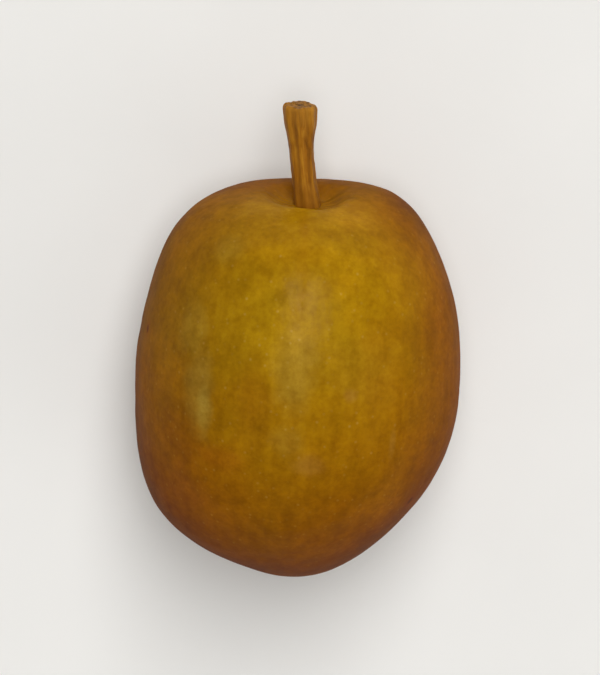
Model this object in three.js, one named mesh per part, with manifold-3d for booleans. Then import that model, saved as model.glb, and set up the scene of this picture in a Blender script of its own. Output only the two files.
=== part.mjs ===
// A marinated olive lying on its side, with the short woody stalk that it was picked with.
// Millimetres, +Z up. The stalk end points along +Y and the fruit rests on z = 0.
// The origin is under the middle of the whole object, stalk included.

import * as THREE from 'three';
import { mergeVertices } from 'three/addons/utils/BufferGeometryUtils.js';
import Module from 'manifold-3d';

// Fruit: length before the hollow sinks in, width, how round each end is (0.5 is a ball, less is
// blunter), and how late the one roundness goes over into the other on the way to the tip
const fruitLength = 21.8;
const fruitWidth = 18.0;
const stalkEndRoundness = 0.265;
const tipEndRoundness = 0.52;
const roundnessPower = 1.8;

// Share of the width that is lost at the tip, and how late that narrowing sets in
const tipNarrowing = 0.155;
const narrowingPower = 4.3;

// Shallow hollow that the stalk stands in
const hollowDepth = 0.6;
const hollowFloorRadius = 0.85;
const hollowRimRadius = 2.8;

// Small point at the tip, left by the flower
const tipPointHeight = 0.06;
const tipPointRadius = 1.0;

// How far the middle line bows to the +X side, how much more so in its stalk half than in its tip half,
// and how far both ends sit to that side
const middleBow = 0.42;
const middleSkew = 0.5;
const stalkEndShift = 0.45;
const tipEndShift = 0.55;
const shiftPower = 10;

// Depth of the flat spot that the fruit rests on
const flatSpotDepth = 0.25;

// Stalk: reach from its seat in the hollow to its free end, and its thickness on the way
const stalkReach = 5.6;
const stalkFootRadius = 0.72;
const stalkWaistRadius = 0.62;
const stalkHeadRadius = 0.86;
const stalkLean = THREE.MathUtils.degToRad(7.3);
const stalkBow = 0.12;
const stalkRidges = 7;
const stalkRidgeHeight = 0.045;
const stalkTwist = THREE.MathUtils.degToRad(70);
const stalkSeatGap = 0.1;

// Shares of the stalk's reach where its foot has narrowed, its head begins and is full, and its
// shoulder turns in to the cut end, and the cut end's rim and dished middle as shares of the head
const stalkFootEnd = 0.28;
const stalkHeadStart = 0.5;
const stalkHeadFull = 0.93;
const stalkShoulder = 0.96;
const cutRim = 0.82;
const cutDish = 0.4;
const cutDishDepth = 0.08;

// Fineness of the meshes, and how much closer together the fruit's rings lie towards each end
const fruitSides = 56;
const fruitRings = 62;
const stalkEndCrowding = 0.4;
const tipEndCrowding = 0.18;
const stalkSides = 28;
const stalkRings = 16;

// Soft bulges (rise above 0) and dents (below 0) that make the fruit uneven, as a grown one is.
// Toward is a direction from its middle, and spread the half width in degrees.
const softForms = [
  { toward: [0.42, 0.88, -0.2], spread: 22, rise: 0.45 },
  { toward: [-0.6, 0.8, 0.1], spread: 22, rise: 0.1 },
  { toward: [-0.66, -0.74, 0.1], spread: 26, rise: 0.36 },
  { toward: [0.8, -0.58, 0.1], spread: 24, rise: 0.1 },
  { toward: [-0.3, -0.55, 0.78], spread: 15, rise: -0.07 },
  { toward: [0.8, -0.1, -0.6], spread: 19, rise: -0.2 },
  { toward: [-0.72, 0.4, -0.58], spread: 18, rise: -0.18 },
  { toward: [0.1, 0.72, -0.7], spread: 20, rise: 0.14 },
];

// Faint seam that runs down the upper side from the stalk end, and the share of it that is full depth
const seamDepth = 0.05;
const seamHalfWidth = 0.5;
const seamReach = 9.0;
const seamFull = 0.3;

// Low waves of the skin: height, distance from crest to crest each way, and where each starts
const waveHeight = 0.035;
const waveLengths = new THREE.Vector3(5.3, 6.1, 4.7);
const waveStarts = new THREE.Vector3(0.7, 1.9, 0.4);

const fruitHalfLength = fruitLength / 2;
const fruitHalfWidth = fruitWidth / 2;
const fruitAxisHeight = fruitHalfWidth - flatSpotDepth;

// Plain body of the fruit: how far out the skin is, at a place along the axis
// that goes from 1 at the stalk end to -1 at the tip
function bodyRadius(along) {
  const toTip = (1 - along) / 2;
  const roundness = THREE.MathUtils.lerp(stalkEndRoundness, tipEndRoundness, toTip ** roundnessPower);
  const narrowing = 1 - tipNarrowing * toTip ** narrowingPower;
  return fruitHalfWidth * narrowing * Math.max(0, 1 - along * along) ** roundness;
}

// Sideways place of the middle line
function sideShift(along) {
  const toStalk = ((1 + along) / 2) ** shiftPower;
  const toTip = ((1 - along) / 2) ** shiftPower;
  const bow = (middleBow + middleSkew * along) * (1 - along * along);
  return bow + stalkEndShift * toStalk + tipEndShift * toTip;
}

// Sinking of the skin around the stalk, and the small point at the other end, both along the axis
function endRise(along, out) {
  if (along > 0) {
    const rim = THREE.MathUtils.smootherstep(out, hollowFloorRadius, hollowRimRadius);
    return -hollowDepth * (1 - rim);
  }
  const away = out / tipPointRadius;
  return -tipPointHeight * Math.exp(-away * away);
}

// Total rise of the soft bulges and dents in one direction from the middle
function softRise(outward) {
  let rise = 0;
  for (const form of softForms) {
    const toward = new THREE.Vector3(...form.toward);
    const away = THREE.MathUtils.radToDeg(outward.angleTo(toward)) / form.spread;
    rise += form.rise * Math.exp(-away * away);
  }
  return rise;
}

// Low waves of the skin
function waveRise(point) {
  const turn = point.clone().divide(waveLengths).multiplyScalar(2 * Math.PI).add(waveStarts);
  const waves = Math.sin(turn.x) + Math.sin(turn.x + turn.y) + Math.sin(turn.z);
  return (waveHeight * waves) / 3;
}

// Seam along the upper side, deepest near the stalk end
function seamRise(point) {
  if (point.z < 0) {
    return 0;
  }
  const across = point.x / seamHalfWidth;
  const down = (fruitHalfLength - point.y) / seamReach;
  const fade = 1 - THREE.MathUtils.smoothstep(down, seamFull, 1);
  return -seamDepth * fade * Math.exp(-across * across);
}

// One point of the fruit's skin, for a direction from its middle
function skinPoint(direction) {
  const angle = Math.acos(THREE.MathUtils.clamp(direction.y, -1, 1));
  const crowding = THREE.MathUtils.lerp(tipEndCrowding, stalkEndCrowding, (1 + direction.y) / 2);
  const along = Math.cos(angle - crowding * Math.sin(2 * angle));
  const out = bodyRadius(along);
  const turn = Math.atan2(direction.x, direction.z);
  const point = new THREE.Vector3(out * Math.sin(turn), fruitHalfLength * along, out * Math.cos(turn));
  const outward = point.clone().normalize();
  const uneven = softRise(outward) + waveRise(point) + seamRise(point);
  const fade = THREE.MathUtils.smoothstep(out, 0, hollowRimRadius);
  point.addScaledVector(outward, uneven * fade);
  point.x += sideShift(along);
  point.y += endRise(along, out);
  return point;
}

// A closed mesh with shared vertices and nothing but positions
function merged(geometry) {
  geometry.deleteAttribute('normal');
  geometry.deleteAttribute('uv');
  return mergeVertices(geometry);
}

// The same mesh with each vertex moved by a function
function shaped(geometry, move) {
  const result = merged(geometry);
  const positions = result.attributes.position;
  const point = new THREE.Vector3();
  for (let i = 0; i < positions.count; i += 1) {
    const moved = move(point.fromBufferAttribute(positions, i));
    positions.setXYZ(i, moved.x, moved.y, moved.z);
  }
  result.computeVertexNormals();
  return result;
}

function toSolid(wasm, geometry) {
  const mesh = new wasm.Mesh({
    numProp: 3,
    vertProperties: new Float32Array(geometry.attributes.position.array),
    triVerts: new Uint32Array(geometry.index.array),
  });
  return new wasm.Manifold(mesh);
}

function toGeometry(solid) {
  const mesh = solid.getMesh();
  const geometry = new THREE.BufferGeometry();
  geometry.setAttribute('position', new THREE.BufferAttribute(mesh.vertProperties, 3));
  geometry.setIndex(new THREE.BufferAttribute(mesh.triVerts, 1));
  geometry.computeVertexNormals();
  return geometry;
}

// The whole fruit, one grown piece, cut flat where it rests
function fruitGeometry(wasm) {
  const skin = shaped(new THREE.SphereGeometry(1, fruitSides, fruitRings), skinPoint);
  const ground = merged(new THREE.BoxGeometry(fruitLength, fruitLength, fruitHalfWidth));
  ground.translate(0, 0, -fruitAxisHeight - fruitHalfWidth / 2);
  return toGeometry(toSolid(wasm, skin).subtract(toSolid(wasm, ground)));
}

// How thick the stalk is on its way from the foot (0) to the free end (1)
function stalkRadius(reach) {
  const footward = 1 - THREE.MathUtils.smoothstep(reach, 0, stalkFootEnd);
  const headward = THREE.MathUtils.smoothstep(reach, stalkHeadStart, stalkHeadFull);
  const foot = (stalkFootRadius - stalkWaistRadius) * footward;
  const head = (stalkHeadRadius - stalkWaistRadius) * headward;
  return stalkWaistRadius + foot + head;
}

// Half outline of the stalk, from the middle of its foot up to the middle of its blunt free end
function stalkOutline() {
  const outline = [new THREE.Vector2(0, 0), new THREE.Vector2(stalkFootRadius / 2, 0)];
  for (let ring = 0; ring <= stalkRings; ring += 1) {
    const reach = (stalkShoulder * ring) / stalkRings;
    outline.push(new THREE.Vector2(stalkRadius(reach), stalkReach * reach));
  }
  outline.push(new THREE.Vector2(stalkHeadRadius * cutRim, stalkReach));
  outline.push(new THREE.Vector2(stalkHeadRadius * cutDish, stalkReach - cutDishDepth));
  outline.push(new THREE.Vector2(0, stalkReach - cutDishDepth));
  return outline;
}

// Ridges, lean and bow of the stalk. Its sections stay square to the fruit's axis,
// so its foot lies flat over the floor of the hollow.
function barkPoint(plain) {
  const reach = plain.y / stalkReach;
  const turn = Math.atan2(plain.x, plain.z);
  const radius = Math.hypot(plain.x, plain.z);
  const ridge = stalkRidgeHeight * Math.cos(stalkRidges * turn + stalkTwist * reach);
  const out = radius * (1 + ridge / stalkRadius(reach));
  const lean = -Math.tan(stalkLean) * plain.y - stalkBow * Math.sin(Math.PI * reach);
  return new THREE.Vector3(lean + out * Math.sin(turn), plain.y, out * Math.cos(turn));
}

function stalkGeometry() {
  return shaped(new THREE.LatheGeometry(stalkOutline(), stalkSides), barkPoint);
}

// Skin of a green olive cured in brine and oil: ochre yellow, wet and glossy
function skinMaterial() {
  return new THREE.MeshStandardMaterial({ color: 0xa97e18, roughness: 0.28, metalness: 0 });
}

// Soaked woody stalk: tan brown and dull
function barkMaterial() {
  return new THREE.MeshStandardMaterial({ color: 0x8a5a10, roughness: 0.7, metalness: 0 });
}

function addFruit(olive, wasm) {
  const fruit = new THREE.Mesh(fruitGeometry(wasm), skinMaterial());
  fruit.name = 'fruit';
  olive.add(fruit);
}

function addStalk(olive) {
  const stalk = new THREE.Mesh(stalkGeometry(), barkMaterial());
  stalk.name = 'stalk';
  stalk.position.set(stalkEndShift, fruitHalfLength - hollowDepth + stalkSeatGap, 0);
  olive.add(stalk);
}

// Stands the olive on z = 0 with the origin under the middle of its outline
function settle(olive) {
  const box = new THREE.Box3().setFromObject(olive, true);
  const middle = box.getCenter(new THREE.Vector3());
  olive.position.set(-middle.x, -middle.y, fruitAxisHeight);
}

const wasm = await Module();
wasm.setup();

const olive = new THREE.Group();
addFruit(olive, wasm);
addStalk(olive);
settle(olive);

export default olive;
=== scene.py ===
import bpy
import math
from mathutils import Matrix, Vector


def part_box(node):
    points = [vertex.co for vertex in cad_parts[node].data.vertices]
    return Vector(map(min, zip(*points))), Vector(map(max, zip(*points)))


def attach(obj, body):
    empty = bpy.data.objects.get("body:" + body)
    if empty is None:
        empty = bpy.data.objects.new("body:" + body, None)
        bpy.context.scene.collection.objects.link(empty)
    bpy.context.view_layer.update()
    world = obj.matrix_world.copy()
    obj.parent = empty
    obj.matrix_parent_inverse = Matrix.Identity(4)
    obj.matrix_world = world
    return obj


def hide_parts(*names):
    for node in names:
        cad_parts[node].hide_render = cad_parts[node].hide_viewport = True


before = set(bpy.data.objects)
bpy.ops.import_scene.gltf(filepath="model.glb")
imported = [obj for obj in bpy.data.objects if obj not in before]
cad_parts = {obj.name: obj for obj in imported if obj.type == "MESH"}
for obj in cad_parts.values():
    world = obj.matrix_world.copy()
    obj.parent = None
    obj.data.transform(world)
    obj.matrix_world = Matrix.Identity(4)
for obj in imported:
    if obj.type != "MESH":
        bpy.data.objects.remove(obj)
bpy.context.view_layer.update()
mm = 0.001  # one millimetre in metres

# The fruit's form in millimetres, the same driving sizes as its solid
fruitForm = {
    "length": 21.8,  # before the hollow sinks in
    "width": 18.0,
    "stalkEndRoundness": 0.265,  # 0.5 is a ball, less is blunter
    "tipEndRoundness": 0.52,
    "roundnessPower": 1.8,
    "tipNarrowing": 0.155,  # share of the width lost at the tip
    "narrowingPower": 4.3,
    "hollowDepth": 0.6,
    "hollowFloor": 0.85,
    "hollowRim": 2.8,
    "pointHeight": 0.06,
    "pointRadius": 1.0,
    "middleBow": 0.42,  # the middle line bows to the +X side
    "bowReach": 13.0,  # how far from its middle each shift is felt
    "middleSkew": 0.5,  # more bow in the stalk half than in the tip half
    "skewPeak": 0.577,  # where the skew is greatest, from 0 in the middle to 1 at the end
    "skewReach": 6.3,
    "stalkEndShift": 0.45,
    "stalkEndReach": 9.0,
    "tipEndShift": 0.55,
    "tipEndReach": 8.0,
    "lowSide": 8.53,  # from the fruit's -X side to its unbent middle line
    "rings": 56,
    "stalkEndCrowding": 0.4,  # how much closer the rings lie there
    "tipEndCrowding": 0.18,
    "sides": 80,
    "fineness": 2,  # subdivision levels
    "waveSize": 4.0,
    "waveHeight": 0.12,
    "puckerSize": 1.1,
    "puckerHeight": 0.03,
    "seatGap": 0.1,
}
# Soft bulges and dents: direction from the middle, half width in degrees, rise in mm
softForms = [
    ((0.42, 0.88, -0.2), 22, 0.45),
    ((-0.6, 0.8, 0.1), 22, 0.1),
    ((-0.66, -0.74, 0.1), 26, 0.36),
    ((0.8, -0.58, 0.1), 24, 0.1),
    ((-0.3, -0.55, 0.78), 15, -0.07),
    ((0.8, -0.1, -0.6), 19, -0.2),
    ((-0.72, 0.4, -0.58), 18, -0.18),
    ((0.1, 0.72, -0.7), 20, 0.14),
]
bulgeReach = 1.67  # half widths that the smooth edge of a bulge reaches
seamForm = {
    "depth": 0.05,
    "side": 0.3,  # how far to the +X side the seam lies
    "halfLine": 0.15,
    "halfWidth": 0.8,
    "reach": 7.0,  # down from the stalk end
}
# Small folds of the skin in the hollow: turn round the stalk in degrees, depth in mm
hollowFolds = [(14, 0.06), (55, 0.09), (88, 0.05), (131, 0.08), (176, 0.06), (214, 0.09), (263, 0.06),
               (301, 0.08), (337, 0.05)]
foldForm = {
    "start": 1.1,  # mm from the stalk's middle
    "end": 2.2,
    "halfTurn": 4.0,  # degrees
    "halfWidth": 0.5,  # mm
}
fruitLow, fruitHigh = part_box("fruit")
stalkLow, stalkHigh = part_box("stalk")
stalkSeat = stalkLow.y / mm - fruitForm["seatGap"]
fruitMiddle = Vector((
    fruitLow.x / mm + fruitForm["lowSide"],
    stalkSeat - fruitForm["length"] / 2 + fruitForm["hollowDepth"],
    (stalkLow.z + stalkHigh.z) / 2 / mm,
))


# Colours and nodes

def linear(hexColour):
    # sRGB hex to the linear colour that a shader takes
    parts = [int(hexColour[i:i + 2], 16) / 255 for i in (1, 3, 5)]
    return tuple(c / 12.92 if c < 0.04045 else ((c + 0.055) / 1.055) ** 2.4 for c in parts) + (1.0,)


def addNode(tree, kind, settings=(), ins=(), out=0, stops=()):
    # Adds one node with its settings, inputs (values or links) and colour stops, and gives one output
    node = tree.nodes.new(kind)
    for name, value in dict(settings).items():
        setattr(node, name, value)
    for key, value in dict(ins).items():
        if isinstance(value, bpy.types.NodeSocket):
            tree.links.new(value, node.inputs[key])
        else:
            node.inputs[key].default_value = value
    for i, (place, colour) in enumerate(stops):
        elements = node.color_ramp.elements
        stop = elements[i] if i < 2 else elements.new(place)
        stop.position = place
        stop.color = linear(colour)
    return node.outputs[out] if node.outputs else node


def newMaterial(name):
    material = bpy.data.materials.new(name)
    material.use_nodes = True
    material.node_tree.nodes.clear()
    return material, material.node_tree


# Settings that many nodes share; a colour Mix takes its colours at inputs 6 and 7, and gives output 2
soft = {"interpolation_type": "SMOOTHSTEP"}
colours = {"data_type": "RGBA"}
multiply = {"data_type": "RGBA", "blend_type": "MULTIPLY"}


def lay(tree, colour, tint, value, start, end, strength, within=()):
    # Lays a tint over a colour, from nothing where the value is start to its strength where it is end
    share = addNode(tree, "ShaderNodeMapRange", soft, {
        "Value": value, "From Min": start, "From Max": end, "To Min": 0.0, "To Max": strength})
    for limit in within:
        share = addNode(tree, "ShaderNodeMath", {"operation": "MULTIPLY"}, {0: share, 1: limit})
    return addNode(tree, "ShaderNodeMix", colours, {"Factor": share, 6: colour, 7: tint}, out=2)


def dapple(tree, colour, pattern, low, high, tint):
    # Darkens a colour by the tint where a pattern is low, and leaves it where the pattern is high
    shade = addNode(tree, "ShaderNodeValToRGB", {}, {"Fac": pattern}, stops=[(low, tint), (high, "#ffffff")])
    return addNode(tree, "ShaderNodeMix", multiply, {"Factor": 1.0, 6: colour, 7: shade}, out=2)


# Skin of a green olive cured in brine and kept in oil. To the eye it is a satin ochre, greener on one
# side and warmer on the other, amber towards the tip, with fine pale pores. Painted shade browns its
# flanks and partly the tip, and some marks are painted highlights and shadows.
skinLook = {
    "ochre": "#ae850c",
    "greenOchre": "#976c0a",
    "warmOchre": "#a06803",
    "amber": "#9a6105",
    "tipBrown": "#8f5907",
    "hollowBrown": "#93620e",
    "bruise": "#552a08",
    "bruiseHalo": "#8a4c10",
    "driftWaver": 4.0,  # mm by which the borders of the large areas wander
    "driftWaverSize": 4.5,  # mm
    "markRaggedness": 0.9,
    "markRagSize": 1.3,  # mm
    "bruiseRagSize": 0.4,  # mm
    "markCore": 0.75,  # half widths at which a mark begins to fade
    "markEdge": 1.6,  # half widths at which it has gone
    "pore": "#cdaf66",
    "poreSpacing": 0.42,  # mm
    "poreRadius": 0.08,  # mm
    "faintestPore": 0.02,
    "strongestPore": 0.22,
    "streakTint": "#f2efe5",
    "streakWidth": 0.7,  # mm
    "streakLength": 7.0,  # mm
    "peelSize": 0.28,  # mm
    "peelHeight": 0.009,  # mm
    "poreHeight": 0.01,  # mm
    "foldHeight": 0.02,  # mm
    "oilSize": 2.5,  # mm
    "glossiest": 0.42,  # roughness where the oil lies thick
    "dullest": 0.6,  # and where it lies thin
}
# Large areas of colour, some of them painted shade: along which axis, where it starts and is full in mm,
# strength, colour
skinDrifts = [
    ("X", -0.5, -6.5, 0.9, "greenOchre"),
    ("X", 2.5, 8.0, 0.8, "warmOchre"),
    # Painted shade: amber darkening over the rim of the stalk end
    ("Y", 6.5, 10.5, 0.3, "amber"),
    ("Y", 5.2, 0.8, 0.5, "warmOchre"),
    # These three brown and darken the tip half: partly the skin's own colour, partly painted shade
    ("Y", 1.0, -5.0, 0.6, "amber"),
    ("Y", -3.1, -4.1, 0.16, "tipBrown"),
    ("Y", -3.6, -11.0, 0.85, "tipBrown"),
]
# Cloudy flesh under the skin and a fine grain: size in mm, detail, tint
skinClouds = [(3.0, 2.0, "#ecece2"), (0.8, 3.0, "#ebe6d6"), (0.25, 2.0, "#f1ede1")]
# Painted shade: the skin browns away from the side where the light is painted as falling, which faces up
# and towards the stalk: from the far side (0) over the side (0.5) to the lit side (1)
paintedLightSide = Vector((0.0, 0.45, 0.89)).normalized()
paintedShadeStops = [(0.0, "#e4cf9c"), (0.25, "#dfc78a"), (0.42, "#cfb06c"), (0.5, "#bf9b54"), (0.6, "#d2af69"),
              (0.74, "#f0dda8"), (0.95, "#ffffff")]
# Marks on the skin, among them painted highlights and shadows: place in mm from the fruit's middle, half
# widths in mm, colour, strength
skinMarks = [
    ((-5.9, -1.2, 6.6), (2.2, 2.5, 2.2), "#854f0a", 0.5),
    ((-1.9, 1.6, 8.6), (1.5, 3.2, 1.6), "#a0690d", 0.4),
    ((3.6, 3.6, 8.0), (2.2, 2.4, 2.2), "#bb8a1c", 0.35),
    ((-5.5, -4.3, 6.2), (1.7, 1.5, 1.7), "#9a6024", 0.35),  # pinkish brown patch
    ((-3.5, -1.8, 8.1), (1.5, 0.9, 1.5), "#a26310", 0.45),
    # Painted highlight: the next two pale marks, soft patches on the left side
    ((-5.0, 2.2, 7.2), (1.1, 2.8, 1.3), "#ad9240", 0.42),  # painted highlight
    ((-4.6, 0.7, 7.6), (0.6, 1.7, 0.8), "#b09a45", 0.4),
    # Painted highlight: two pale marks down the middle of the upper side
    ((0.2, 3.8, 8.7), (1.5, 3.2, 1.6), "#b9973a", 0.4),
    ((0.0, -0.3, 9.0), (1.1, 1.2, 1.3), "#ab8730", 0.3),
    ((-3.6, 9.3, 5.3), (1.2, 1.0, 1.2), "#a08a35", 0.22),
    ((4.3, 7.7, 6.1), (2.8, 2.6, 2.8), "#b08208", 0.5),
    ((7.7, 5.0, 3.2), (1.6, 4.6, 3.2), "#a4660a", 0.4),
    ((5.6, -0.7, 7.0), (0.25, 1.3, 0.4), "#a8803a", 0.3),
    # Painted shadow at the stalk end's right side
    ((6.2, 10.0, -0.4), (2.0, 1.7, 2.6), "#80500a", 0.5),
    ((1.9, 8.6, 6.2), (2.0, 2.0, 1.8), "#c2920f", 0.45),
    ((4.9, 4.0, 7.0), (1.6, 3.4, 1.9), "#b58113", 0.5),
    ((-1.6, 10.8, 2.0), (2.4, 0.9, 1.8), "#b98a1c", 0.4),
    # Painted light that lifts the shaded far wall of the hollow
    ((2.6, 10.6, 2.6), (2.0, 1.2, 2.3), "#cf9a1c", 0.55),
    # Painted shadow at the lower right edge
    ((7.2, -4.0, 4.6), (1.2, 1.8, 1.6), "#7d4a08", 0.4),
    ((1.3, -1.7, 8.8), (1.2, 0.8, 1.0), "#b4843a", 0.36),
    # Painted sheen: a pale patch on the upper left
    ((-5.5, 5.0, 6.2), (1.2, 2.4, 1.4), "#a88830", 0.42),
    ((3.2, 2.3, 8.2), (0.5, 0.5, 0.5), "#ad7e36", 0.4),
    ((-8.6, 2.0, -2.4), (1.2, 3.4, 1.6), "#a38c3e", 0.35),
    ((3.4, -5.2, -6.4), (3.0, 2.2, 2.6), "#8d5218", 0.5),
    ((-4.4, 6.4, -6.6), (2.4, 1.8, 2.2), "#9a7a1c", 0.5),
]
# Bruises: place in mm from the fruit's middle, radius of the dark core in mm
skinBruises = [
    ((6.9, -4.9, 4.1), 0.28),
    ((-7.9, 3.6, 2.6), 0.2),
    ((-8.5, -2.2, -3.0), 0.5),
    ((8.2, 2.2, -3.6), 0.42),
    ((5.6, -7.4, -3.2), 0.3),
    ((-3.0, -9.4, 1.6), 0.24),
    ((2.6, 10.2, -3.4), 0.3),
    ((-5.4, 7.8, -4.2), 0.36),
]
# The halo and the core of a bruise: size in core radii, colour, strength
bruiseRings = [(2.4, "bruiseHalo", 0.5), (1.0, "bruise", 0.8)]
bruiseStretch = 1.4  # a bruise is longer along the fruit than across it
# Browner skin round the stalk and the scar of the flower at the tip: where each stain starts and is full,
# in mm from the middle of the hollow or of the tip, and its strength
hollowStains = [(3.2, 1.2, 0.06), (1.5, 0.8, 0.3)]
tipStains = [(1.9, 0.6, 0.5), (0.5, 0.28, 0.75)]
foldLook = {
    "count": 17.0,  # fine folds round the stalk
    "waver": 0.7,
    "waverSize": 1.11,  # mm
    "fadesFrom": 1.4,  # mm from the stalk's middle
    "fadesTo": 3.4,
    "startsAt": 7.0,  # mm along the fruit from its middle
    "fullAt": 9.0,
}
seamLook = {
    "strength": 0.16,
    "core": 0.05,  # mm to each side
    "edge": 0.45,
    "side": 0.9,  # mm to the +X side, less the 0.3 to 0.7 mm of the waver
    "waver": 1.0,  # mm
    "waverSize": 2.0,  # mm
    "lowest": (2.0, 4.0),  # mm above the fruit's middle, where it starts and is full
    "farthest": (3.5, 8.5),  # mm along the fruit from its middle
}


def paintMark(tree, facing, ragged, colour, mark):
    # One soft-edged mark, its border made uneven by the ragged noise
    place, size, tint, strength = mark
    place = Vector(place)
    scale = tuple(place.length / s for s in size)
    middle = place.normalized()
    away = addNode(tree, "ShaderNodeVectorMath", {"operation": "SUBTRACT"}, {0: facing, 1: middle})
    away = addNode(tree, "ShaderNodeVectorMath", {"operation": "MULTIPLY"}, {0: away, 1: scale})
    away = addNode(tree, "ShaderNodeVectorMath", {"operation": "LENGTH"}, {0: away}, out="Value")
    away = addNode(tree, "ShaderNodeMath", {"operation": "MULTIPLY_ADD"},
                   {0: ragged, 1: skinLook["markRaggedness"], 2: away})
    return lay(tree, colour, linear(tint), away, skinLook["markEdge"], skinLook["markCore"], strength)


def skinPlaces(tree):
    # Millimetres from the fruit's middle, the same bent by a broad noise, and the direction from the middle
    place = addNode(tree, "ShaderNodeTexCoord", out="Object")
    at = addNode(tree, "ShaderNodeMapping", {}, {"Vector": place, "Location": -fruitMiddle,
                                                 "Scale": (1 / mm, 1 / mm, 1 / mm)})
    broad = addNode(tree, "ShaderNodeTexNoise", {},
                    {"Vector": at, "Scale": 1 / skinLook["driftWaverSize"], "Detail": 3.0}, out="Color")
    broad = addNode(tree, "ShaderNodeVectorMath", {"operation": "SUBTRACT"}, {0: broad, 1: (0.5, 0.5, 0.5)})
    bent = addNode(tree, "ShaderNodeVectorMath", {"operation": "MULTIPLY_ADD"},
                   {0: broad, 1: (skinLook["driftWaver"],) * 3, 2: at})
    facing = addNode(tree, "ShaderNodeVectorMath", {"operation": "NORMALIZE"}, {0: at})
    return at, bent, facing


def paintDrifts(tree, bent):
    # Large areas of colour that run into each other: green, warm, amber, and the brown tip; the amber at the
    # stalk end is painted shade, and the tip's browning partly so
    split = addNode(tree, "ShaderNodeSeparateXYZ", {}, {0: bent}, out="X").node.outputs
    colour = linear(skinLook["ochre"])
    for axis, start, end, strength, tint in skinDrifts:
        colour = lay(tree, colour, linear(skinLook[tint]), split[axis], start, end, strength)
    return colour


def paintFlankShade(tree, bent, colour):
    # Painted shade: browner down the flanks, on the underside and towards the tip
    half = Vector((fruitForm["width"], fruitForm["length"], fruitForm["width"])) / 2
    steep = addNode(tree, "ShaderNodeVectorMath", {"operation": "MULTIPLY"},
                    {0: bent, 1: tuple(1 / h ** 2 for h in half)})
    steep = addNode(tree, "ShaderNodeVectorMath", {"operation": "NORMALIZE"}, {0: steep})
    rise = addNode(tree, "ShaderNodeVectorMath", {"operation": "DOT_PRODUCT"}, {0: steep, 1: paintedLightSide},
                   out="Value")
    rise = addNode(tree, "ShaderNodeMapRange", {}, {"Value": rise, "From Min": -1.0, "From Max": 1.0})
    shade = addNode(tree, "ShaderNodeValToRGB", {}, {"Fac": rise}, stops=paintedShadeStops)
    return addNode(tree, "ShaderNodeMix", multiply, {"Factor": 1.0, 6: colour, 7: shade}, out=2)


def paintClouds(tree, at, colour):
    for size, detail, tint in skinClouds:
        cloud = addNode(tree, "ShaderNodeTexNoise", {},
                        {"Vector": at, "Scale": 1 / size, "Detail": detail, "Roughness": 0.6}, out="Fac")
        colour = dapple(tree, colour, cloud, 0.33, 0.62, tint)
    return colour


def paintStreaks(tree, at, colour):
    # Faint streaks that run from end to end
    wide, long = 1 / skinLook["streakWidth"], 1 / skinLook["streakLength"]
    drawn = addNode(tree, "ShaderNodeMapping", {}, {"Vector": at, "Scale": (wide, long, wide)})
    streak = addNode(tree, "ShaderNodeTexNoise", {}, {"Vector": drawn, "Scale": 1.0, "Detail": 3.0},
                     out="Fac")
    return dapple(tree, colour, streak, 0.38, 0.6, skinLook["streakTint"])


def paintPores(tree, at, colour):
    # Pale breathing pores, no two alike in strength, that also stand a hair above the skin
    spots = addNode(tree, "ShaderNodeTexVoronoi", {"feature": "F1"},
                    {"Vector": at, "Scale": 1 / skinLook["poreSpacing"], "Randomness": 1.0}, out="Distance")
    inner = skinLook["poreRadius"] / skinLook["poreSpacing"]
    dot = addNode(tree, "ShaderNodeMapRange", soft, {
        "Value": spots, "From Min": inner * 0.3, "From Max": inner * 1.5, "To Min": 1.0, "To Max": 0.0})
    chance = addNode(tree, "ShaderNodeSeparateColor", {}, {0: spots.node.outputs["Color"]})
    chance = addNode(tree, "ShaderNodeMapRange", soft, {
        "Value": chance, "From Min": 0.3, "From Max": 0.95,
        "To Min": skinLook["faintestPore"], "To Max": skinLook["strongestPore"]})
    dot = addNode(tree, "ShaderNodeMath", {"operation": "MULTIPLY"}, {0: dot, 1: chance})
    colour = addNode(tree, "ShaderNodeMix", colours,
                     {"Factor": dot, 6: colour, 7: linear(skinLook["pore"])}, out=2)
    return colour, dot


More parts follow.
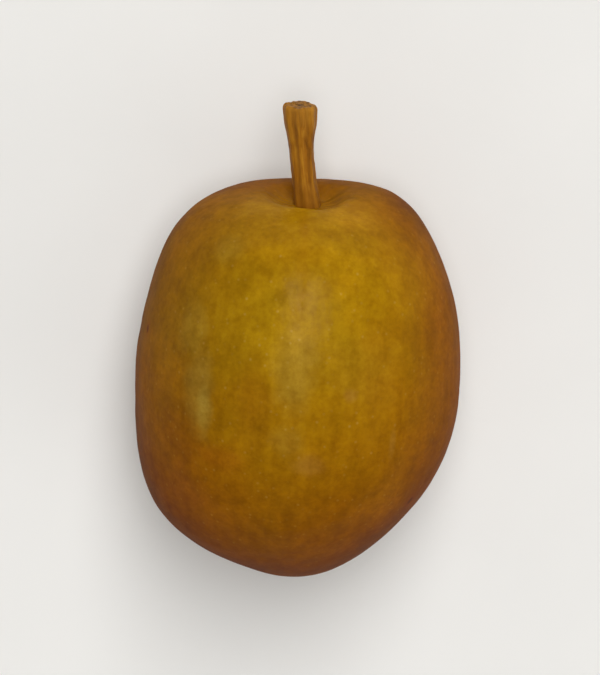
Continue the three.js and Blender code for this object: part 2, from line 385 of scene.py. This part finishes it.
def paintHollow(tree, at, colour):
    # Browner skin round the stalk, with fine folds that run out from it
    side = addNode(tree, "ShaderNodeVectorMath", {"operation": "SUBTRACT"},
                   {0: at, 1: (fruitForm["stalkEndShift"], 0, 0)})
    split = addNode(tree, "ShaderNodeSeparateXYZ", {}, {0: side}, out="X").node.outputs
    flat = addNode(tree, "ShaderNodeVectorMath", {"operation": "MULTIPLY"}, {0: side, 1: (1, 0, 1)})
    away = addNode(tree, "ShaderNodeVectorMath", {"operation": "LENGTH"}, {0: flat}, out="Value")
    atEnd = addNode(tree, "ShaderNodeMapRange", soft, {
        "Value": split["Y"], "From Min": foldLook["startsAt"], "From Max": foldLook["fullAt"]})
    for start, end, strength in hollowStains:
        colour = lay(tree, colour, linear(skinLook["hollowBrown"]), away, start, end, strength, [atEnd])
    turn = addNode(tree, "ShaderNodeMath", {"operation": "ARCTAN2"}, {0: split["X"], 1: split["Z"]})
    noise = addNode(tree, "ShaderNodeTexNoise", {},
                    {"Vector": at, "Scale": 1 / foldLook["waverSize"], "Detail": 2.0}, out="Fac")
    turn = addNode(tree, "ShaderNodeMath", {"operation": "MULTIPLY_ADD"},
                   {0: noise, 1: foldLook["waver"], 2: turn})
    turn = addNode(tree, "ShaderNodeMath", {"operation": "MULTIPLY"}, {0: turn, 1: foldLook["count"]})
    fold = addNode(tree, "ShaderNodeMath", {"operation": "SINE"}, {0: turn})
    near = addNode(tree, "ShaderNodeMapRange", soft, {
        "Value": away, "From Min": foldLook["fadesTo"], "From Max": foldLook["fadesFrom"]})
    near = addNode(tree, "ShaderNodeMath", {"operation": "MULTIPLY"}, {0: near, 1: atEnd})
    fold = addNode(tree, "ShaderNodeMath", {"operation": "MULTIPLY"}, {0: fold, 1: near})
    return colour, fold


def paintTip(tree, at, colour):
    # The small dark scar of the flower at the tip, in a brown ring
    place = Vector((fruitForm["tipEndShift"], -fruitForm["length"] / 2, 0))
    away = addNode(tree, "ShaderNodeVectorMath", {"operation": "SUBTRACT"}, {0: at, 1: place})
    away = addNode(tree, "ShaderNodeVectorMath", {"operation": "LENGTH"}, {0: away}, out="Value")
    for start, end, strength in tipStains:
        colour = lay(tree, colour, linear(skinLook["bruise"]), away, start, end, strength)
    return colour


def paintSeam(tree, at, colour):
    # Faint darker line down the upper side from the stalk
    split = addNode(tree, "ShaderNodeSeparateXYZ", {}, {0: at}, out="X").node.outputs
    waver = addNode(tree, "ShaderNodeTexNoise", {},
                    {"Vector": at, "Scale": 1 / seamLook["waverSize"], "Detail": 2.0}, out="Fac")
    side = addNode(tree, "ShaderNodeMath", {"operation": "MULTIPLY_ADD"},
                   {0: waver, 1: seamLook["waver"], 2: split["X"]})
    side = addNode(tree, "ShaderNodeMath", {"operation": "SUBTRACT"}, {0: side, 1: seamLook["side"]})
    side = addNode(tree, "ShaderNodeMath", {"operation": "ABSOLUTE"}, {0: side})
    limits = []
    for axis, reach in (("Z", "lowest"), ("Y", "farthest")):
        start, end = seamLook[reach]
        limits.append(addNode(tree, "ShaderNodeMapRange", soft, {
            "Value": split[axis], "From Min": start, "From Max": end}))
    return lay(tree, colour, linear(skinLook["tipBrown"]), side, seamLook["edge"], seamLook["core"],
               seamLook["strength"], limits)


def paintSkin(tree, at, bent, facing):
    # All the colour of the skin, from the large areas to the tip, with painted shade, highlights and shadows
    # among it, and the patterns that also have height
    colour = paintDrifts(tree, bent)
    ragged = addNode(tree, "ShaderNodeTexNoise", {},
                     {"Vector": at, "Scale": 1 / skinLook["markRagSize"], "Detail": 4.0}, out="Fac")
    for mark in skinMarks:
        colour = paintMark(tree, facing, ragged, colour, mark)
    colour, pores = paintPores(tree, at, colour)
    colour = paintClouds(tree, at, colour)
    colour = paintStreaks(tree, at, colour)
    speckle = addNode(tree, "ShaderNodeTexNoise", {},
                      {"Vector": at, "Scale": 1 / skinLook["bruiseRagSize"], "Detail": 3.0}, out="Fac")
    for place, radius in skinBruises:
        for size, tint, strength in bruiseRings:
            spread = (radius * size, radius * size * bruiseStretch, radius * size)
            colour = paintMark(tree, facing, speckle, colour, (place, spread, skinLook[tint], strength))
    colour = paintFlankShade(tree, bent, colour)
    colour = paintSeam(tree, at, colour)
    colour, folds = paintHollow(tree, at, colour)
    colour = paintTip(tree, at, colour)
    return colour, pores, folds


def skinMaterial():
    material, tree = newMaterial("brineCuredOliveSkin")
    at, bent, facing = skinPlaces(tree)
    colour, pores, folds = paintSkin(tree, at, bent, facing)

    # Height in millimetres: puckers, peel, pores and folds together
    puckers = addNode(tree, "ShaderNodeTexNoise", {},
                      {"Vector": at, "Scale": 1 / fruitForm["puckerSize"], "Detail": 2.0}, out="Fac")
    peel = addNode(tree, "ShaderNodeTexNoise", {},
                   {"Vector": at, "Scale": 1 / skinLook["peelSize"], "Detail": 2.0}, out="Fac")
    height = addNode(tree, "ShaderNodeMath", {"operation": "MULTIPLY"},
                     {0: puckers, 1: fruitForm["puckerHeight"]})
    for part, rise in ((peel, "peelHeight"), (pores, "poreHeight"), (folds, "foldHeight")):
        height = addNode(tree, "ShaderNodeMath", {"operation": "MULTIPLY_ADD"},
                         {0: part, 1: skinLook[rise], 2: height})
    bump = addNode(tree, "ShaderNodeBump", {}, {"Strength": 1.0, "Distance": mm, "Height": height})

    # Oil lies unevenly, so the gloss varies
    oil = addNode(tree, "ShaderNodeTexNoise", {},
                  {"Vector": at, "Scale": 1 / skinLook["oilSize"], "Detail": 3.0}, out="Fac")
    rough = addNode(tree, "ShaderNodeMapRange", soft, {
        "Value": oil, "From Min": 0.3, "From Max": 0.7,
        "To Min": skinLook["glossiest"], "To Max": skinLook["dullest"]})
    shader = addNode(tree, "ShaderNodeBsdfPrincipled", {}, {
        "Base Color": colour,
        "Roughness": rough,
        "IOR": 1.45,
        "Specular IOR Level": 0.0,  # the oil's gloss, the coat below, covers the skin's own
        "Subsurface Weight": 0.25,
        "Subsurface Radius": (1.0, 0.7, 0.25),
        "Subsurface Scale": 0.6 * mm,
        "Coat Weight": 0.12,
        "Coat Roughness": 0.28,
        "Coat IOR": 1.46,
        "Coat Normal": bump,
        "Normal": bump,
    })
    addNode(tree, "ShaderNodeOutputMaterial", {}, {"Surface": shader})
    return material


# Edit-mode helpers

def deselectAll():
    for other in bpy.context.selected_objects:
        other.select_set(False)


def pick(piece, wanted):
    # Selects only the corners that the test names, and stays in edit mode
    bpy.ops.object.mode_set(mode="OBJECT")
    mesh = piece.data
    mesh.edges.foreach_set("select", [False] * len(mesh.edges))
    mesh.polygons.foreach_set("select", [False] * len(mesh.polygons))
    mesh.vertices.foreach_set("select", [wanted(v.co) for v in mesh.vertices])
    bpy.ops.object.mode_set(mode="EDIT")


def pull(piece, corners, push, reach):
    # Moves the picked corners and, softly, what lies within reach of them
    pick(piece, corners)
    bpy.ops.transform.translate(value=push * mm, use_proportional_edit=True,
                                proportional_edit_falloff="SMOOTH", proportional_size=reach * mm)


def nearestTo(piece, place):
    # A test that holds for the corner nearest to a place only
    bpy.ops.object.mode_set(mode="OBJECT")
    nearest = min((v.co for v in piece.data.vertices), key=lambda co: (co - place).length_squared).copy()
    return lambda co: (co - nearest).length_squared < 1e-14


def applyModifier(piece, kind, **settings):
    bpy.ops.object.mode_set(mode="OBJECT")
    bpy.ops.object.modifier_add(type=kind)
    modifier = piece.modifiers[-1]
    for name, value in settings.items():
        setattr(modifier, name, value)
    bpy.ops.object.modifier_apply(modifier=modifier.name)


def roughen(piece, name, size, height, level=0.5):
    # Raises and lowers the surface by a cloudy noise, its size and height in mm
    texture = bpy.data.textures.new(name, type="CLOUDS")
    texture.noise_scale = size * mm
    texture.noise_depth = 2
    applyModifier(piece, "DISPLACE", texture=texture, strength=height * mm, mid_level=level,
                  texture_coords="LOCAL")


def spinOutline(name, points, sides, middle):
    # A half outline drawn corner by corner, then spun round the Y direction through middle
    deselectAll()
    bpy.ops.mesh.primitive_plane_add(size=mm, location=points[0])
    piece = bpy.context.object
    piece.name = name
    bpy.ops.object.mode_set(mode="EDIT")
    bpy.ops.mesh.select_all(action="SELECT")
    bpy.ops.mesh.merge(type="CENTER")
    for here, there in zip(points, points[1:]):
        bpy.ops.mesh.extrude_region_move(TRANSFORM_OT_translate={"value": there - here})
    bpy.ops.mesh.select_all(action="SELECT")
    bpy.ops.mesh.spin(steps=sides, angle=2 * math.pi, center=middle, axis=(0, 1, 0))
    bpy.ops.mesh.select_all(action="SELECT")
    bpy.ops.mesh.remove_doubles(threshold=0.002 * mm)
    bpy.ops.mesh.normals_make_consistent(inside=False)
    bpy.ops.object.mode_set(mode="OBJECT")
    bpy.ops.object.transform_apply(location=True, rotation=True, scale=True)
    return piece


# The fruit

def smoother(value, low, high):
    # Eases from 0 at low to 1 at high
    t = min(1.0, max(0.0, (value - low) / (high - low)))
    return t * t * t * (t * (6 * t - 15) + 10)


def bodyOut(along):
    # How far out the skin is, from 1 at the stalk end to -1 at the tip
    toTip = (1 - along) / 2
    share = toTip ** fruitForm["roundnessPower"]
    roundness = fruitForm["stalkEndRoundness"] * (1 - share) + fruitForm["tipEndRoundness"] * share
    narrowing = 1 - fruitForm["tipNarrowing"] * toTip ** fruitForm["narrowingPower"]
    return fruitForm["width"] / 2 * narrowing * max(0.0, 1 - along * along) ** roundness


def endRise(along, out):
    # The hollow sinks the stalk end, and the low point raises the tip
    if along > 0:
        deep = 1 - smoother(out, fruitForm["hollowFloor"], fruitForm["hollowRim"])
        return -fruitForm["hollowDepth"] * deep
    return -fruitForm["pointHeight"] * math.exp(-(out / fruitForm["pointRadius"]) ** 2)


def fruitOutline():
    points = []
    for ring in range(fruitForm["rings"] + 1):
        angle = math.pi * ring / fruitForm["rings"]
        toStalk = (1 + math.cos(angle)) / 2
        crowding = fruitForm["tipEndCrowding"] * (1 - toStalk) + fruitForm["stalkEndCrowding"] * toStalk
        along = math.cos(angle - crowding * math.sin(2 * angle))
        out = bodyOut(along)
        rise = endRise(along, out)
        points.append((fruitMiddle + Vector((out, fruitForm["length"] / 2 * along + rise, 0))) * mm)
    return points


def onRing(piece, along):
    # A test for the corners of the ring nearest to a place on the axis, from 1 at the stalk end to -1
    bpy.ops.object.mode_set(mode="OBJECT")
    place = (fruitMiddle.y + fruitForm["length"] / 2 * along) * mm
    ring = min((v.co.y for v in piece.data.vertices), key=lambda y: abs(y - place))
    return lambda co: abs(co.y - ring) < 0.001 * mm


def onSeam(co):
    # Holds for the corners of the upper side that lie on the seam's line
    end = fruitMiddle.y + fruitForm["length"] / 2 - seamForm["reach"]
    aside = abs(co.x / mm - fruitMiddle.x - seamForm["side"])
    return co.z > fruitMiddle.z * mm and aside < seamForm["halfLine"] and co.y > end * mm


def onFold(turn):
    # A test for the corners in the hollow that lie on one fold
    def test(co):
        x, z = co.x / mm - fruitMiddle.x - fruitForm["stalkEndShift"], co.z / mm - fruitMiddle.z
        apart = (math.degrees(math.atan2(x, z)) - turn + 180) % 360 - 180
        onWay = foldForm["start"] < math.hypot(x, z) < foldForm["end"]
        return co.y / mm > fruitMiddle.y and onWay and abs(apart) < foldForm["halfTurn"]
    return test


def bendFruit(piece):
    # The middle line bows to one side, more so towards the stalk, and both ends shift with it
    halfLength = Vector((0, fruitForm["length"] / 2, 0))
    pull(piece, onRing(piece, 0), Vector((fruitForm["middleBow"], 0, 0)), fruitForm["bowReach"])
    peak = fruitForm["skewPeak"]
    skew = fruitForm["middleSkew"] * peak * (1 - peak ** 2)
    for side in (1, -1):
        pull(piece, onRing(piece, side * peak), Vector((side * skew, 0, 0)), fruitForm["skewReach"])
    for end, shift, reach in ((halfLength, "stalkEndShift", "stalkEndReach"),
                              (-halfLength, "tipEndShift", "tipEndReach")):
        corner = nearestTo(piece, (fruitMiddle + end) * mm)
        pull(piece, corner, Vector((fruitForm[shift], 0, 0)), fruitForm[reach])


def swellFruit(piece):
    # Bulges and dents, the seam, and the folds in the hollow
    radius = fruitForm["width"] / 2
    for toward, spread, rise in softForms:
        outward = Vector(toward).normalized()
        corner = nearestTo(piece, (fruitMiddle + outward * radius) * mm)
        pull(piece, corner, outward * rise, bulgeReach * math.radians(spread) * radius)
    pull(piece, onSeam, Vector((0, 0, -seamForm["depth"])), seamForm["halfWidth"])
    for turn, depth in hollowFolds:
        pull(piece, onFold(turn), Vector((0, -depth, 0)), foldForm["halfWidth"])


def flattenUnderside(piece):
    # Cuts the fruit level where it rests, and keeps that face flat
    bpy.ops.object.mode_set(mode="EDIT")
    bpy.ops.mesh.select_all(action="SELECT")
    bpy.ops.mesh.bisect(plane_co=(0, 0, 0), plane_no=(0, 0, 1), use_fill=True, clear_inner=True,
                        threshold=1e-7)
    bpy.ops.object.mode_set(mode="OBJECT")
    bpy.ops.object.shade_smooth()
    for face in piece.data.polygons:
        if len(face.vertices) > 4:
            face.use_smooth = False


def makeFruit():
    piece = spinOutline("curedOlive", fruitOutline(), fruitForm["sides"], fruitMiddle * mm)
    bendFruit(piece)
    swellFruit(piece)
    applyModifier(piece, "SUBSURF", levels=fruitForm["fineness"], render_levels=fruitForm["fineness"])
    roughen(piece, "skinWaves", fruitForm["waveSize"], fruitForm["waveHeight"])
    roughen(piece, "skinPuckers", fruitForm["puckerSize"], fruitForm["puckerHeight"])
    flattenUnderside(piece)
    piece.data.materials.append(skinMaterial())
    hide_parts("fruit")
    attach(piece, "root")
    print("fruit:", len(piece.data.polygons), "faces")


# The stalk, extruded ring by ring from its foot in the hollow to its torn free end
stalkForm = {
    "reach": 5.6,
    "root": 0.35,  # how deep the foot is sunk in the flesh
    "foot": 0.69,
    "footSwell": (0.0, 0.28),  # shares of the length over which the foot thins to the waist
    "waist": 0.62,
    "head": 0.86,
    "headSwell": (0.5, 0.93),  # shares of the length over which the waist swells to the head
    "collar": 0.02,  # how far the ring at the foot stands out
    "collarFade": (0.03, 0.1),
    "lean": 7.3,  # degrees
    "bow": 0.12,
    "ridges": 7,
    "ridgeSides": 6,  # corners round one ridge
    "ridgeHeight": 0.07,
    "steps": 22,
    "barkEnd": 0.97,  # share of the length at which the torn end begins
    "tear": 0.05,  # unevenness of the torn end
    "fineness": 2,  # subdivision levels
    "lumpSize": 0.8,
    "lumpHeight": 0.09,
}
# Rings of the torn end, from its rounded rim to its sunken middle: size as a share of the ring before,
# rise in mm
tornRings = [(0.84, 0.168), (0.75, -0.05), (0.7, 0.03), (0.6, -0.05)]
# Soaked olive wood of the stalk. To the eye it is a dull golden brown with dark grooves along it,
# a darker foot, and a paler torn end that shows the wood's rings.
barkLook = {
    "dark": "#6f430e",
    "middle": "#925b10",
    "light": "#ab741d",
    "foot": "#8c5911",
    "head": "#ad7724",
    "grooveStrength": 0.35,
    "endWood": "#9c6c2c",
    "endRing": "#6b4218",
    "endGap": "#3f240a",
    "fibreWidth": 0.2,  # mm
    "fibreLength": 2.2,
    "fibreHeight": 0.06,
    "gritSize": 0.12,
    "gritHeight": 0.012,
    "ringSpacing": 0.2856,
    "ringWaver": 0.3,
    "ringStrength": 0.6,
    "gapStrength": 0.8,
    "pithStrength": 0.8,
    "pith": (0.2, 0.1),  # mm from the stalk's middle, where the pith starts and is full
    "bareWood": (0.92, 0.78),  # mm from the middle, where the bark ends
    "bareFrom": (5.38, 5.5),  # mm along the stalk
}
# Stains on the bark: where each starts and is full in mm along the stalk, strength, colour
barkStains = [(3.6, 5.6, 0.4, "head"), (1.7, 0.2, 0.75, "foot")]


def stalkFoot():
    # The middle of the stalk's foot in mm, on the floor of the hollow
    return Vector((fruitMiddle.x + fruitForm["stalkEndShift"], stalkLow.y / mm, fruitMiddle.z))


def barkPlaces(tree):
    # Millimetres from the stalk's foot, turned so that Y runs along the leaning stalk
    lean = math.radians(stalkForm["lean"])
    place = addNode(tree, "ShaderNodeTexCoord", out="Object")
    return addNode(tree, "ShaderNodeMapping", {}, {
        "Vector": place,
        "Location": -(Matrix.Rotation(-lean, 3, "Z") @ stalkFoot()),
        "Rotation": (0, 0, -lean),
        "Scale": (1 / mm, 1 / mm, 1 / mm),
    })


def paintGrooves(tree, split, colour):
    # Dark in the grooves between the ridges
    turn = addNode(tree, "ShaderNodeMath", {"operation": "ARCTAN2"}, {0: split["X"], 1: split["Z"]})
    turn = addNode(tree, "ShaderNodeMath", {"operation": "MULTIPLY"}, {0: turn, 1: stalkForm["ridges"]})
    groove = addNode(tree, "ShaderNodeMath", {"operation": "COSINE"}, {0: turn})
    return lay(tree, colour, linear(barkLook["dark"]), groove, 0.0, -1.0, barkLook["grooveStrength"])


def paintTornEnd(tree, at, split, fibre, colour):
    # Bare wood with uneven rings and open fibres round a small pith
    flat = addNode(tree, "ShaderNodeVectorMath", {"operation": "MULTIPLY"}, {0: at, 1: (1, 0, 1)})
    away = addNode(tree, "ShaderNodeVectorMath", {"operation": "LENGTH"}, {0: flat}, out="Value")
    uneven = addNode(tree, "ShaderNodeMath", {"operation": "MULTIPLY_ADD"},
                     {0: fibre, 1: barkLook["ringWaver"], 2: away})
    rings = addNode(tree, "ShaderNodeMath", {"operation": "MULTIPLY"},
                    {0: uneven, 1: 2 * math.pi / barkLook["ringSpacing"]})
    rings = addNode(tree, "ShaderNodeMath", {"operation": "SINE"}, {0: rings})
    gap = linear(barkLook["endGap"])
    wood = lay(tree, linear(barkLook["endWood"]), linear(barkLook["endRing"]), rings, -0.6, 0.9,
               barkLook["ringStrength"])
    wood = lay(tree, wood, gap, fibre, 0.5, 0.36, barkLook["gapStrength"])
    wood = lay(tree, wood, gap, away, *barkLook["pith"], barkLook["pithStrength"])
    start, full = barkLook["bareFrom"]
    top = addNode(tree, "ShaderNodeMapRange", soft, {
        "Value": split["Y"], "From Min": start, "From Max": full})
    return lay(tree, colour, wood, uneven, *barkLook["bareWood"], 1.0, [top])


def barkMaterial():
    material, tree = newMaterial("soakedOliveWood")
    at = barkPlaces(tree)
    split = addNode(tree, "ShaderNodeSeparateXYZ", {}, {0: at}, out="X").node.outputs
    wide, long = 1 / barkLook["fibreWidth"], 1 / barkLook["fibreLength"]
    drawn = addNode(tree, "ShaderNodeMapping", {}, {"Vector": at, "Scale": (wide, long, wide)})
    fibre = addNode(tree, "ShaderNodeTexNoise", {}, {
        "Vector": drawn, "Scale": 1.0, "Detail": 4.0, "Roughness": 0.6, "Distortion": 0.3}, out="Fac")
    colour = addNode(tree, "ShaderNodeValToRGB", {}, {"Fac": fibre}, stops=[
        (0.3, barkLook["dark"]), (0.47, barkLook["middle"]), (0.66, barkLook["light"])])
    for start, end, strength, tint in barkStains:
        colour = lay(tree, colour, linear(barkLook[tint]), split["Y"], start, end, strength)
    colour = paintGrooves(tree, split, colour)
    colour = paintTornEnd(tree, at, split, fibre, colour)

    grit = addNode(tree, "ShaderNodeTexNoise", {},
                   {"Vector": at, "Scale": 1 / barkLook["gritSize"], "Detail": 2.0}, out="Fac")
    height = addNode(tree, "ShaderNodeMath", {"operation": "MULTIPLY"},
                     {0: fibre, 1: barkLook["fibreHeight"]})
    height = addNode(tree, "ShaderNodeMath", {"operation": "MULTIPLY_ADD"},
                     {0: grit, 1: barkLook["gritHeight"], 2: height})
    bump = addNode(tree, "ShaderNodeBump", {}, {"Strength": 1.0, "Distance": mm, "Height": height})
    rough = addNode(tree, "ShaderNodeMapRange", {}, {"Value": fibre, "From Min": 0.3, "From Max": 0.7,
                                                     "To Min": 0.68, "To Max": 0.5})
    shader = addNode(tree, "ShaderNodeBsdfPrincipled", {}, {
        "Base Color": colour,
        "Roughness": rough,
        "IOR": 1.5,
        "Specular IOR Level": 0.12,
        "Normal": bump,
    })
    addNode(tree, "ShaderNodeOutputMaterial", {}, {"Surface": shader})
    return material


def stalkOut(reach):
    # The stalk's radius in mm, from 0 at its foot to 1 at its free end
    footward = 1 - smoother(reach, *stalkForm["footSwell"])
    headward = smoother(reach, *stalkForm["headSwell"])
    collar = stalkForm["collar"] * (1 - smoother(reach, *stalkForm["collarFade"]))
    return (stalkForm["waist"] + (stalkForm["foot"] - stalkForm["waist"]) * footward
            + (stalkForm["head"] - stalkForm["waist"]) * headward + collar)


def stalkMiddle(reach):
    # The stalk's middle line, leaning and slightly bowed
    side = -math.tan(math.radians(stalkForm["lean"])) * stalkForm["reach"] * reach
    side -= stalkForm["bow"] * math.sin(math.pi * max(0.0, reach))
    return (stalkFoot() + Vector((side, stalkForm["reach"] * reach, 0))) * mm


def startStalk(rootShare):
    # The lowest ring, round with seven ridges
    deselectAll()
    middle = stalkMiddle(rootShare)
    bpy.ops.mesh.primitive_circle_add(vertices=stalkForm["ridges"] * stalkForm["ridgeSides"],
                                      radius=stalkOut(0) * mm, location=middle,
                                      rotation=(math.pi / 2, 0, 0))
    piece = bpy.context.object
    piece.name = "curedOliveStalk"
    bpy.ops.object.transform_apply(location=True, rotation=True, scale=True)

    def onRidge(co):
        turn = math.atan2(co.x - middle.x, co.z - middle.z) * stalkForm["ridges"]
        return math.cos(turn) > 0.4

    pick(piece, onRidge)
    swell = 1 + stalkForm["ridgeHeight"] / stalkForm["foot"]
    bpy.ops.transform.resize(value=(swell, 1, swell), center_override=middle)
    return piece


def growStalk(rootShare):
    # Ring by ring to the head, then over the torn end to its middle
    bpy.ops.mesh.select_all(action="SELECT")
    steps = stalkForm["steps"]
    shares = [rootShare] + [stalkForm["barkEnd"] * step / steps for step in range(steps + 1)]
    for here, there in zip(shares, shares[1:]):
        move = stalkMiddle(there) - stalkMiddle(here)
        bpy.ops.mesh.extrude_region_move(TRANSFORM_OT_translate={"value": move})
        grow = stalkOut(max(0.0, there)) / stalkOut(max(0.0, here))
        bpy.ops.transform.resize(value=(grow, 1, grow), center_override=stalkMiddle(there))
    top = stalkMiddle(shares[-1])
    for seed, (shrink, rise) in enumerate(tornRings):
        bpy.ops.mesh.extrude_region_move(TRANSFORM_OT_translate={"value": (0, rise * mm, 0)})
        bpy.ops.transform.resize(value=(shrink, 1, shrink), center_override=top)
        bpy.ops.transform.vertex_random(offset=stalkForm["tear"] * mm, uniform=1.0, normal=0.0, seed=seed)
    bpy.ops.mesh.merge(type="CENTER")


def makeStalk():
    rootShare = -stalkForm["root"] / stalkForm["reach"]
    piece = startStalk(rootShare)
    growStalk(rootShare)
    justAboveRoot = stalkLow.y - (stalkForm["root"] - 0.01) * mm
    pick(piece, lambda co: co.y < justAboveRoot)
    bpy.ops.mesh.edge_face_add()
    bpy.ops.mesh.select_all(action="SELECT")
    bpy.ops.mesh.normals_make_consistent(inside=False)
    applyModifier(piece, "SUBSURF", levels=stalkForm["fineness"], render_levels=stalkForm["fineness"])
    roughen(piece, "barkLumps", stalkForm["lumpSize"], stalkForm["lumpHeight"], 0.55)
    bpy.ops.object.shade_smooth()
    piece.data.materials.append(barkMaterial())
    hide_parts("stalk")
    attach(piece, "root")
    print("stalk:", len(piece.data.polygons), "faces")


# The set: floor, room, camera and lights, in metres where nothing else is said
setForm = {
    "floorSize": 6.0,
    "floorColour": "#f0efec",
    "floorCloud": 0.0167,  # size of the paper's clouds
    "skyLow": "#f2f1ee",  # at the horizon
    "skyHigh": "#8f8e8c",  # overhead
    "skyStrength": 1.0,
    "tip": 18.0,  # degrees that the stalk end is tipped towards the camera
    "roll": 3.0,  # degrees that the fruit leans to the right in the picture
    "distance": 0.30,
    "sensorHeight": 24.0,  # mm
    "frameHeight": 37.0,  # mm of the scene from the picture's bottom to its top
    "target": (0.0, 0.2, 8.7),  # mm
    "lampsAimAt": (0, 0, 0.0087),  # the fruit's middle
}
# Lights. Those that shape the form aren't mirrored in the skin, and the golden ones show only as gloss,
# as a light does through oil.
lamps = {
    "key": {"place": (0.15, 1.12, 1.95), "size": (0.9, 2.2), "power": 42.5, "colour": "#ffffff",
            "glossOnly": False},
    "gleam": {"place": (0.08, 1.15, 1.88), "size": (0.16, 1.0), "power": 15.0, "colour": "#ffdc9c",
              "glossOnly": True},
    "sheen": {"place": (0.22, 1.0, 1.95), "size": (0.9, 1.5), "power": 36.0, "colour": "#ffdc9c",
              "glossOnly": True},
    "fill": {"place": (1.9, -0.6, 1.1), "size": (1.2, 1.2), "power": 5.0, "colour": "#ffffff",
             "glossOnly": False},
    "low": {"place": (-0.2, -1.9, 0.3), "size": (1.4, 0.8), "power": 7.0, "colour": "#ffffff",
            "glossOnly": False},
}


def floorMaterial():
    # Uncoated paper: pale and matte, with a faint cloudiness of its fibres
    material, tree = newMaterial("uncoatedWhitePaper")
    place = addNode(tree, "ShaderNodeTexCoord", out="Object")
    cloud = addNode(tree, "ShaderNodeTexNoise", {},
                    {"Vector": place, "Scale": 1 / setForm["floorCloud"], "Detail": 5.0}, out="Fac")
    tint = addNode(tree, "ShaderNodeMapRange", {}, {"Value": cloud, "From Min": 0.3, "From Max": 0.7,
                                                    "To Min": 0.96, "To Max": 1.0})
    tint = addNode(tree, "ShaderNodeCombineColor", {}, {0: tint, 1: tint, 2: tint})
    colour = addNode(tree, "ShaderNodeMix", multiply,
                     {"Factor": 1.0, 6: linear(setForm["floorColour"]), 7: tint}, out=2)
    shader = addNode(tree, "ShaderNodeBsdfPrincipled", {}, {
        "Base Color": colour,
        "Roughness": 0.85,
        "Specular IOR Level": 0.2,
    })
    addNode(tree, "ShaderNodeOutputMaterial", {}, {"Surface": shader})
    return material


def addFloor():
    deselectAll()
    bpy.ops.mesh.primitive_plane_add(size=setForm["floorSize"], location=(0, 0, 0))
    floor = bpy.context.object
    floor.name = "floor"
    floor.data.materials.append(floorMaterial())


def addLight(name, look):
    data = bpy.data.lights.new(name, "AREA")
    data.energy = look["power"]
    data.color = linear(look["colour"])[:3]
    data.shape = "ELLIPSE"
    data.size, data.size_y = look["size"]
    lamp = bpy.data.objects.new(name, data)
    bpy.context.collection.objects.link(lamp)
    lamp.location = look["place"]
    toward = Vector(setForm["lampsAimAt"]) - Vector(look["place"])
    lamp.rotation_euler = toward.to_track_quat("-Z", "Y").to_euler()
    lamp.visible_glossy = look["glossOnly"]
    lamp.visible_diffuse = not look["glossOnly"]


def addWorld():
    # A pale room, bright at the horizon and dimmer overhead
    world = bpy.data.worlds.new("paleRoom")
    bpy.context.scene.world = world
    world.use_nodes = True
    tree = world.node_tree
    tree.nodes.clear()
    way = addNode(tree, "ShaderNodeTexCoord", out="Generated")
    height = addNode(tree, "ShaderNodeSeparateXYZ", {}, {0: way}, out="Z")
    sky = addNode(tree, "ShaderNodeValToRGB", {}, {"Fac": height},
                  stops=[(0.03, setForm["skyLow"]), (0.1, setForm["skyHigh"])])
    light = addNode(tree, "ShaderNodeBackground", {}, {"Color": sky, "Strength": setForm["skyStrength"]})
    addNode(tree, "ShaderNodeOutputWorld", {}, {"Surface": light})


def addCamera():
    data = bpy.data.cameras.new("camera")
    camera = bpy.data.objects.new("camera", data)
    bpy.context.collection.objects.link(camera)
    tip, roll = math.radians(setForm["tip"]), math.radians(setForm["roll"])
    back = Vector((0, math.sin(tip), math.cos(tip)))
    up = Vector((-math.sin(roll), math.cos(roll), 0))
    up = (up - up.dot(back) * back).normalized()
    right = up.cross(back)
    turn = Matrix((right, up, back)).transposed().to_4x4()
    place = Vector(setForm["target"]) * mm + back * setForm["distance"]
    camera.matrix_world = Matrix.Translation(place) @ turn
    data.sensor_fit = "VERTICAL"
    data.sensor_height = setForm["sensorHeight"]
    data.lens = data.sensor_height * setForm["distance"] / (setForm["frameHeight"] * mm)
    data.clip_start = 0.005
    data.clip_end = 10.0
    bpy.context.scene.camera = camera


addCamera()
print("camera placed")
makeFruit()
makeStalk()
addFloor()
for name, look in lamps.items():
    addLight(name, look)
addWorld()
bpy.context.scene.view_settings.view_transform = "Standard"
print("set finished")
